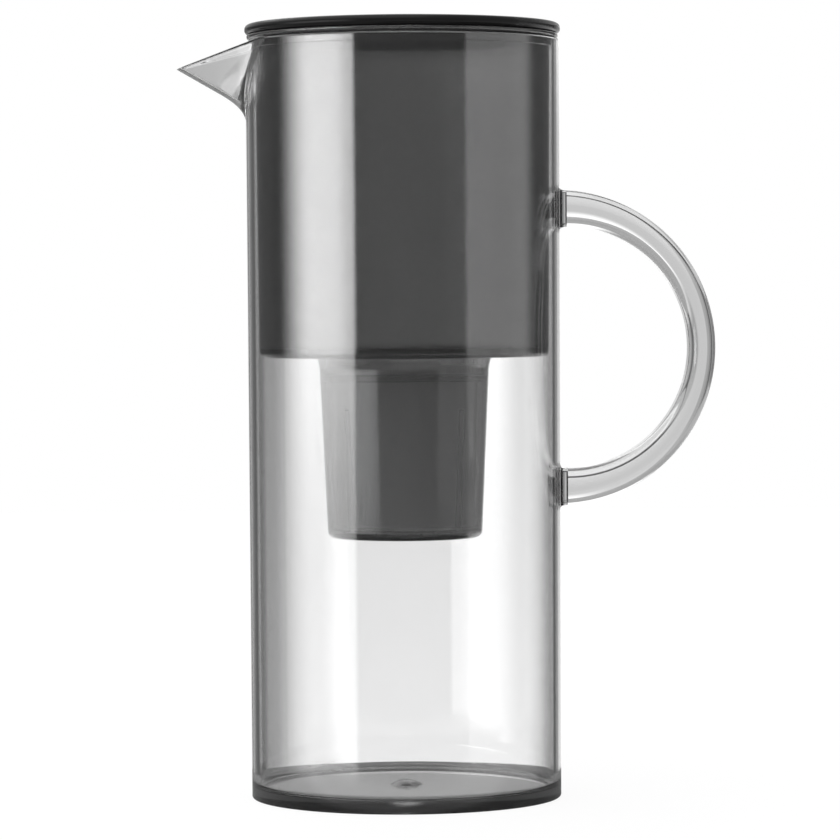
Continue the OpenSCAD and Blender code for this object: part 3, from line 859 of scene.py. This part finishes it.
def granules(name, size, dark, light, roughness):
    """Loose grains, each with its own shade and a rounded top."""
    f = new_finish(name)
    sockets = {"Vector": f.place(), "Scale": 1 / (size * MM)}
    mound = f.node("ShaderNodeTexVoronoi", {}, sockets)
    shade = f.node("ShaderNodeTexVoronoi", {}, sockets, "Color")
    each = f.node("ShaderNodeSeparateColor", {}, {"Color": shade})
    return f.surface(
        {
            "Base Color": f.tint(each, dark, light),
            "Roughness": roughness + 0.15 * each,
            "IOR": 1.5,
            "Normal": f.bump(1 - mound, 0.4 * size, 0.8),
        }
    )


def carbon_granules():
    """Activated carbon: black angular grains."""
    return granules("carbon_granules", 1.1, (0.012, 0.012, 0.012), (0.045, 0.045, 0.047), 0.5)


def resin_beads():
    """Ion-exchange resin: small amber beads."""
    return granules("resin_beads", 0.8, (0.42, 0.27, 0.1), (0.72, 0.53, 0.26), 0.25)


# Stage


def floor_finish():
    """Plain pale floor as the camera sees it. To the light that reaches the jug it is painted darker under
    and behind the jug, a painted shadow that shades the jug from below, and the studio's light passes it
    further out.
    """
    f = new_finish("floor_finish")
    spot = f.place()
    x, y, _ = f.axes(spot)
    beyond = f.spread(f.length(spot), 0.11, 0.114) * f.spread(y, 0.0, 0.03)
    near = (1 - f.spread(f.size(x), 0.1, 0.2)) * f.spread(y, -0.2, -0.1) * (1 - beyond)
    mottle = f.noise(spot, 6, 2) * 0.03
    # Painted shadow: for light other than the camera's, the floor's paint is darker under and behind the
    # jug than in front.
    shade = f.matt(mottle + f.spread(y, -0.075, -0.055, 0.6, 0.19))
    painted_shadow_under_jug = f.blend(near, f.node("ShaderNodeBsdfTransparent"), shade)
    glow = f.node("ShaderNodeEmission", {}, {"Color": (1, 1, 1, 1), "Strength": 1.0})
    pale = f.blend(0.92, f.matt(mottle + 0.8), glow)
    seen = f.node("ShaderNodeLightPath", output="Is Camera Ray")
    return f.close("ShaderNodeOutputMaterial", {"Surface": f.blend(seen, painted_shadow_under_jug, pale)})


def make_floor():
    """Wide flat floor, a hair below the jug's foot."""
    bm = bmesh.new()
    bmesh.ops.create_grid(bm, x_segments=8, y_segments=8, size=2)
    mesh = bpy.data.meshes.new("floor")
    bm.to_mesh(mesh)
    bm.free()
    floor = bpy.data.objects.new("floor", mesh)
    floor.location.z = -0.2 * MM
    bpy.context.scene.collection.objects.link(floor)
    mesh.materials.append(floor_finish())


def light_studio():
    """White backdrop behind, a tall soft box left, a paler panel right and a soft light overhead."""
    world = bpy.data.worlds.new("studio")
    bpy.context.scene.world = world
    f = Finish(world)
    spot = f.node("ShaderNodeTexCoord", output="Generated")
    x, y, z = f.axes(spot)
    # Degrees from the camera's side, with the spout at -90, and degrees from straight behind
    turn = f.node("ShaderNodeMath", {"operation": "ARCTAN2"}, {0: x, 1: y * -1}) * (180 / math.pi)
    behind = f.node("ShaderNodeMath", {"operation": "ARCTAN2"}, {0: x, 1: y}) * (180 / math.pi)
    left = f.spread(turn, -106, -70) * f.spread(turn, -54, -37, 5.5, 3.4)
    left = left * (1 - f.spread(turn, -38.5, -35)) * f.spread(z, -0.07, -0.005, 0.64, 1)
    right = f.spread(turn, 46.5, 48.5) * (1 - f.spread(turn, 100, 116)) * 0.75
    middle = f.spread(behind, -2.8, -1.5) * 0.4 + f.spread(behind, -7.5, -5) * 0.2
    middle = middle + f.spread(behind, -13.5, -10) * 0.4
    fall = 1 - f.spread(behind, 7, 13) * 0.44 - f.spread(behind, 21, 27) * 0.56
    edge = f.spread(behind, -25, -22) * (1 - f.spread(behind, -18, -16)) * 0.33
    rise = f.spread(z, 0.035, 0.085) * f.spread(behind, 0.5, 2)
    backdrop = (middle * fall + edge) * (f.spread(z, -0.12, 0, 1.12, 0.93) + rise)
    sides = (left + right + backdrop) * f.spread(z, -0.15, -0.13) * (1 - f.spread(z, 0.092, 0.106))
    top_light = f.spread(z, 0.42, 0.5) * 1.5 * (1 - f.spread(x, 0.15, 0.3))
    overhead = f.spread(z, 0.092, 0.106) * 0.55 + top_light
    under_spout = 1 - f.spread(x, -0.4, -0.2)
    below = under_spout * 0.45 + (1 - under_spout) * f.spread(z, -0.6, -0.5) * 1.15
    below = below * (1 - f.spread(z, -0.25, -0.2))
    aside = f.spread(f.size(behind), 12, 17)
    low_wall = aside * (1 - f.spread(z, -0.16, -0.14)) * f.spread(z, -0.3, -0.2) * 0.75
    level = 0.13 + sides + overhead + below + low_wall
    studio = f.node("ShaderNodeBackground", {}, {"Color": level})
    plain = f.node("ShaderNodeBackground", {}, {"Color": (1, 1, 1, 1)})
    seen = f.node("ShaderNodeLightPath", output="Is Camera Ray")
    f.close("ShaderNodeOutputWorld", {"Surface": f.blend(seen, studio, plain)})


def aim_camera():
    """Camera where the photograph was taken from, a little above the jug's middle, with a long lens."""
    distance = 1.5
    height = 0.1825
    pitch = 0.03006
    yaw = -0.00375
    roll = -0.0061
    ahead = Vector((-math.sin(yaw), math.cos(yaw), 0))
    right = Vector((math.cos(yaw), math.sin(yaw), 0))
    up = Vector((0, 0, 1))
    view = ahead * math.cos(pitch) - up * math.sin(pitch)
    top = up * math.cos(pitch) + ahead * math.sin(pitch)
    across = right * math.cos(roll) + top * math.sin(roll)
    top = top * math.cos(roll) - right * math.sin(roll)
    data = bpy.data.cameras.new("camera")
    data.sensor_width = 36
    data.lens = 176.3
    data.clip_start = 0.05
    data.clip_end = 50
    camera = bpy.data.objects.new("camera", data)
    turn = Matrix((across, top, -view)).transposed().to_4x4()
    camera.matrix_world = Matrix.Translation((0, -distance, height)) @ turn
    bpy.context.scene.collection.objects.link(camera)
    bpy.context.scene.camera = camera


def set_light_paths():
    """Plain colours, and enough bounces for light to cross every wall of the jug, hopper and cup."""
    scene = bpy.context.scene
    scene.view_settings.view_transform = "Standard"
    scene.cycles.max_bounces = 32
    scene.cycles.transmission_bounces = 32
    scene.cycles.glossy_bounces = 12
    scene.cycles.diffuse_bounces = 4
    scene.cycles.transparent_max_bounces = 16


# Assembly

finishes = {
    "clear_smoke": clear_smoke(),
    "dark_smoke": dark_smoke(),
    "cup_smoke": cup_smoke(),
    "black_plastic": black_plastic(),
    "seal_rubber": seal_rubber(),
    "cartridge_plastic": cartridge_plastic(),
    "screen_fleece": screen_fleece(),
    "carbon_granules": carbon_granules(),
    "resin_beads": resin_beads(),
}


def fit_piece(piece, node, body, slot, finish=None):
    """Stands a piece in for a node of the part, on the node's body and in its finish."""
    piece.data.materials.append(finishes[finish or slot])
    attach(piece, body)
    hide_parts(node)


def dress_node(node, slot):
    """Gives a node of the part its finish."""
    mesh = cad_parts[node].data
    mesh.materials.clear()
    mesh.materials.append(finishes[slot])


fit_piece(make_jug_body(), "jug_body", "jug", "clear_smoke")
fit_piece(make_handle(), "handle", "jug", "clear_smoke")
fit_piece(make_hopper(), "hopper", "hopper", "dark_smoke")
fit_piece(make_filter_cup(), "filter_cup", "hopper", "dark_smoke", "cup_smoke")
dress_node("lid_cover", "black_plastic")
dress_node("lid_seal", "seal_rubber")
dress_node("cartridge_shell", "cartridge_plastic")
dress_node("cartridge_cap", "cartridge_plastic")
dress_node("cartridge_seal", "seal_rubber")
dress_node("inlet_screen", "screen_fleece")
dress_node("outlet_screen", "screen_fleece")
dress_node("carbon_bed", "carbon_granules")
dress_node("resin_bed", "resin_beads")

make_floor()
light_studio()
aim_camera()
set_light_paths()
